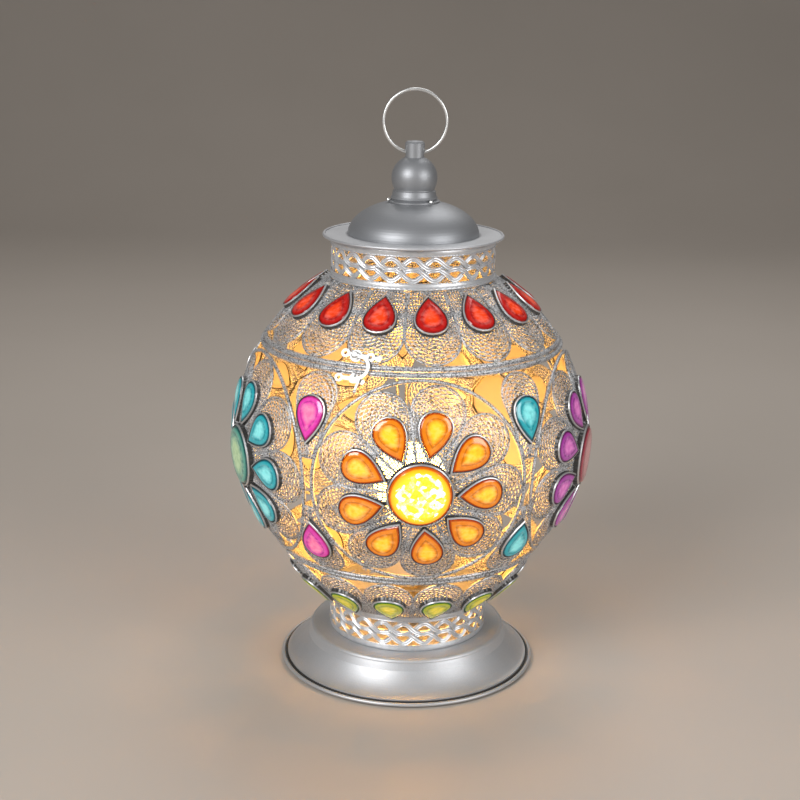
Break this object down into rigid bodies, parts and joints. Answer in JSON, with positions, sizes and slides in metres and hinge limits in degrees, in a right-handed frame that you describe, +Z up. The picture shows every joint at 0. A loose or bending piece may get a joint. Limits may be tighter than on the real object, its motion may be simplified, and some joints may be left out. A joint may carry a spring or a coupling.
{
  "type": "filigree globe table lamp",
  "caption": "Pierced silver metal globe lantern lamp set with coloured cabochon stones, with a hinged, latched lid, openwork bands, spun foot and carry ring.",
  "frame": {"origin": "centre of the felt's underside, where the lamp stands", "axes": "+Z up along the lamp's axis, -Y towards the front medallion's side, +X to the viewer's right"},
  "size_m": [0.2215, 0.2211, 0.3524],
  "materials": {
    "silver_filigree": "pressed and pierced sheet, satin silver lacquer",
    "satin_silver": "satin silver lacquer",
    "dome_pewter": "satin pewter grey lacquer",
    "bright_steel": "bright plated",
    "bezel_silver": "satin silver with darker side walls",
    "black_felt": "felt",
    "black_rubber": "matt",
    "brass": "plain",
    "ivory_plastic": "moulded",
    "lime_stone": "clear cast acrylic",
    "amber_stone": "clear cast acrylic",
    "violet_stone": "clear cast acrylic",
    "green_stone": "clear cast acrylic",
    "rose_stone": "clear cast acrylic",
    "teal_stone": "clear cast acrylic",
    "crackle_amber_stone": "crackled cast acrylic",
    "garnet_stone": "clear cast acrylic",
    "sea_green_stone": "clear cast acrylic",
    "red_stone": "clear cast acrylic",
    "bulb_glass": "frosted, lit",
    "bulb_cap_metal": "threaded",
    "filament": "lit filament strips"
  },
  "bodies": {
    "root": {"foot_felt": "black_felt", "base_plate": "satin_silver", "edge_band": "black_rubber", "base_cover": "satin_silver", "cord_bush": "black_rubber", "threaded_tube": "brass", "tube_nuts": "brass", "lower_gallery": "silver_filigree", "cross_bar": "bright_steel", "lampholder_body": "ivory_plastic", "contact_sleeve": "brass", "contact_tongue": "brass", "lower_bowl": "silver_filigree", "green_bezels": "bezel_silver", "green_stones": "lime_stone", "lower_seam": "silver_filigree", "medallion_amber": "silver_filigree", "medallion_violet": "silver_filigree", "medallion_green": "silver_filigree", "medallion_rose": "silver_filigree", "medallion_teal": "silver_filigree", "medallion_bezels": "bezel_silver", "petal_stones_amber": "amber_stone", "petal_stones_violet": "violet_stone", "petal_stones_green": "green_stone", "petal_stones_rose": "rose_stone", "petal_stones_teal": "teal_stone", "centre_stone_amber": "crackle_amber_stone", "centre_stone_garnet": "garnet_stone", "centre_stone_green": "green_stone", "centre_stone_rose": "rose_stone", "centre_stone_teal": "sea_green_stone", "gap_panels_upper": "silver_filigree", "gap_panels_lower": "silver_filigree", "gap_bezels": "bezel_silver", "gap_stones_pink": "rose_stone", "gap_stones_teal": "teal_stone", "bowl_rim": "silver_filigree", "catch_plate": "bright_steel", "hinge_leaf_lower": "bright_steel", "hinge_pin": "bright_steel"},
    "lid": {"hinge_leaf_upper": "bright_steel", "lid_rim": "silver_filigree", "lid_filigree": "silver_filigree", "red_bezels": "bezel_silver", "red_stones": "red_stone", "upper_gallery": "silver_filigree", "cap": "dome_pewter", "finial": "dome_pewter", "finial_bolt": "dome_pewter", "finial_screws": "bright_steel", "latch_plate": "bright_steel", "latch_rivet": "bright_steel"},
    "latch": {"latch_hook": "bright_steel"},
    "carry_ring": {"carry_ring": "bright_steel"},
    "bulb": {"bulb_glass": "bulb_glass", "bulb_cap": "bulb_cap_metal", "bulb_tip": "brass", "bulb_filament": "filament"}
  },
  "joints": [
    {"name": "lid_hinge", "type": "hinge", "parent": "root", "child": "lid", "pos_m": [0.03123, 0.08581, 0.20846], "axis": [-0.9397, 0.342, 0], "range_deg": [0, 100]},
    {"name": "latch_pivot", "type": "hinge", "parent": "lid", "child": "latch", "pos_m": [-0.03057, -0.08078, 0.21383], "axis": [-0.2873, -0.7894, 0.5424], "range_deg": [-11, 90]},
    {"name": "ring_swing", "type": "hinge", "parent": "lid", "child": "carry_ring", "pos_m": [0, 0, 0.31489], "axis": [1, 0, 0], "range_deg": [-95, 95]},
    {"name": "bulb_lift", "type": "slide", "parent": "root", "child": "bulb", "axis": [0, 0, 1], "range_m": [0, 0.022]}
  ]
}
